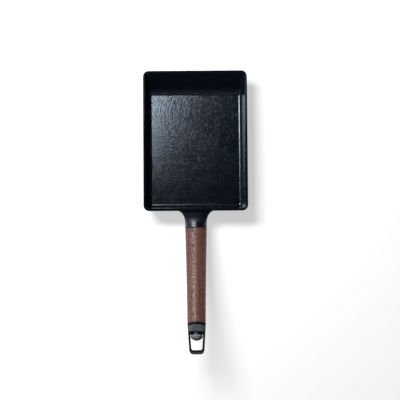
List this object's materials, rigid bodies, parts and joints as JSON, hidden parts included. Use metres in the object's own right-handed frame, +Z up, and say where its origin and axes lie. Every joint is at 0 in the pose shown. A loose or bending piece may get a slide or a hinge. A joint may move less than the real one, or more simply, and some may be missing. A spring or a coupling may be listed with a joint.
{
  "type": "tamagoyaki pan",
  "caption": "Rectangular cast-iron omelette pan with one strongly sloped wall, a tapered wooden grip bolted to a short cast neck and a flat-strap hanging loop.",
  "frame": {"origin": "On the flat base face, below the middle of the rim", "axes": "+Z up, +Y towards the strongly sloped far wall, the handle points to -Y, +X to the right when the far wall is at the top"},
  "size_m": [0.1358, 0.3708, 0.0786],
  "materials": {
    "enamelled_iron": "satin black enamel with a fine pebbled grain",
    "walnut": "oiled walnut with open pores",
    "black_metal": "satin black coating",
    "dark_steel": "black oxide",
    "gasket": "matte"
  },
  "bodies": {
    "root": {"pan_body": "enamelled_iron", "neck_washer": "gasket", "wood_grip": "walnut", "end_cap": "black_metal", "hanging_loop": "black_metal", "loop_washer": "dark_steel", "disc_spring": "dark_steel", "tie_bolt": "dark_steel"}
  },
  "joints": []
}
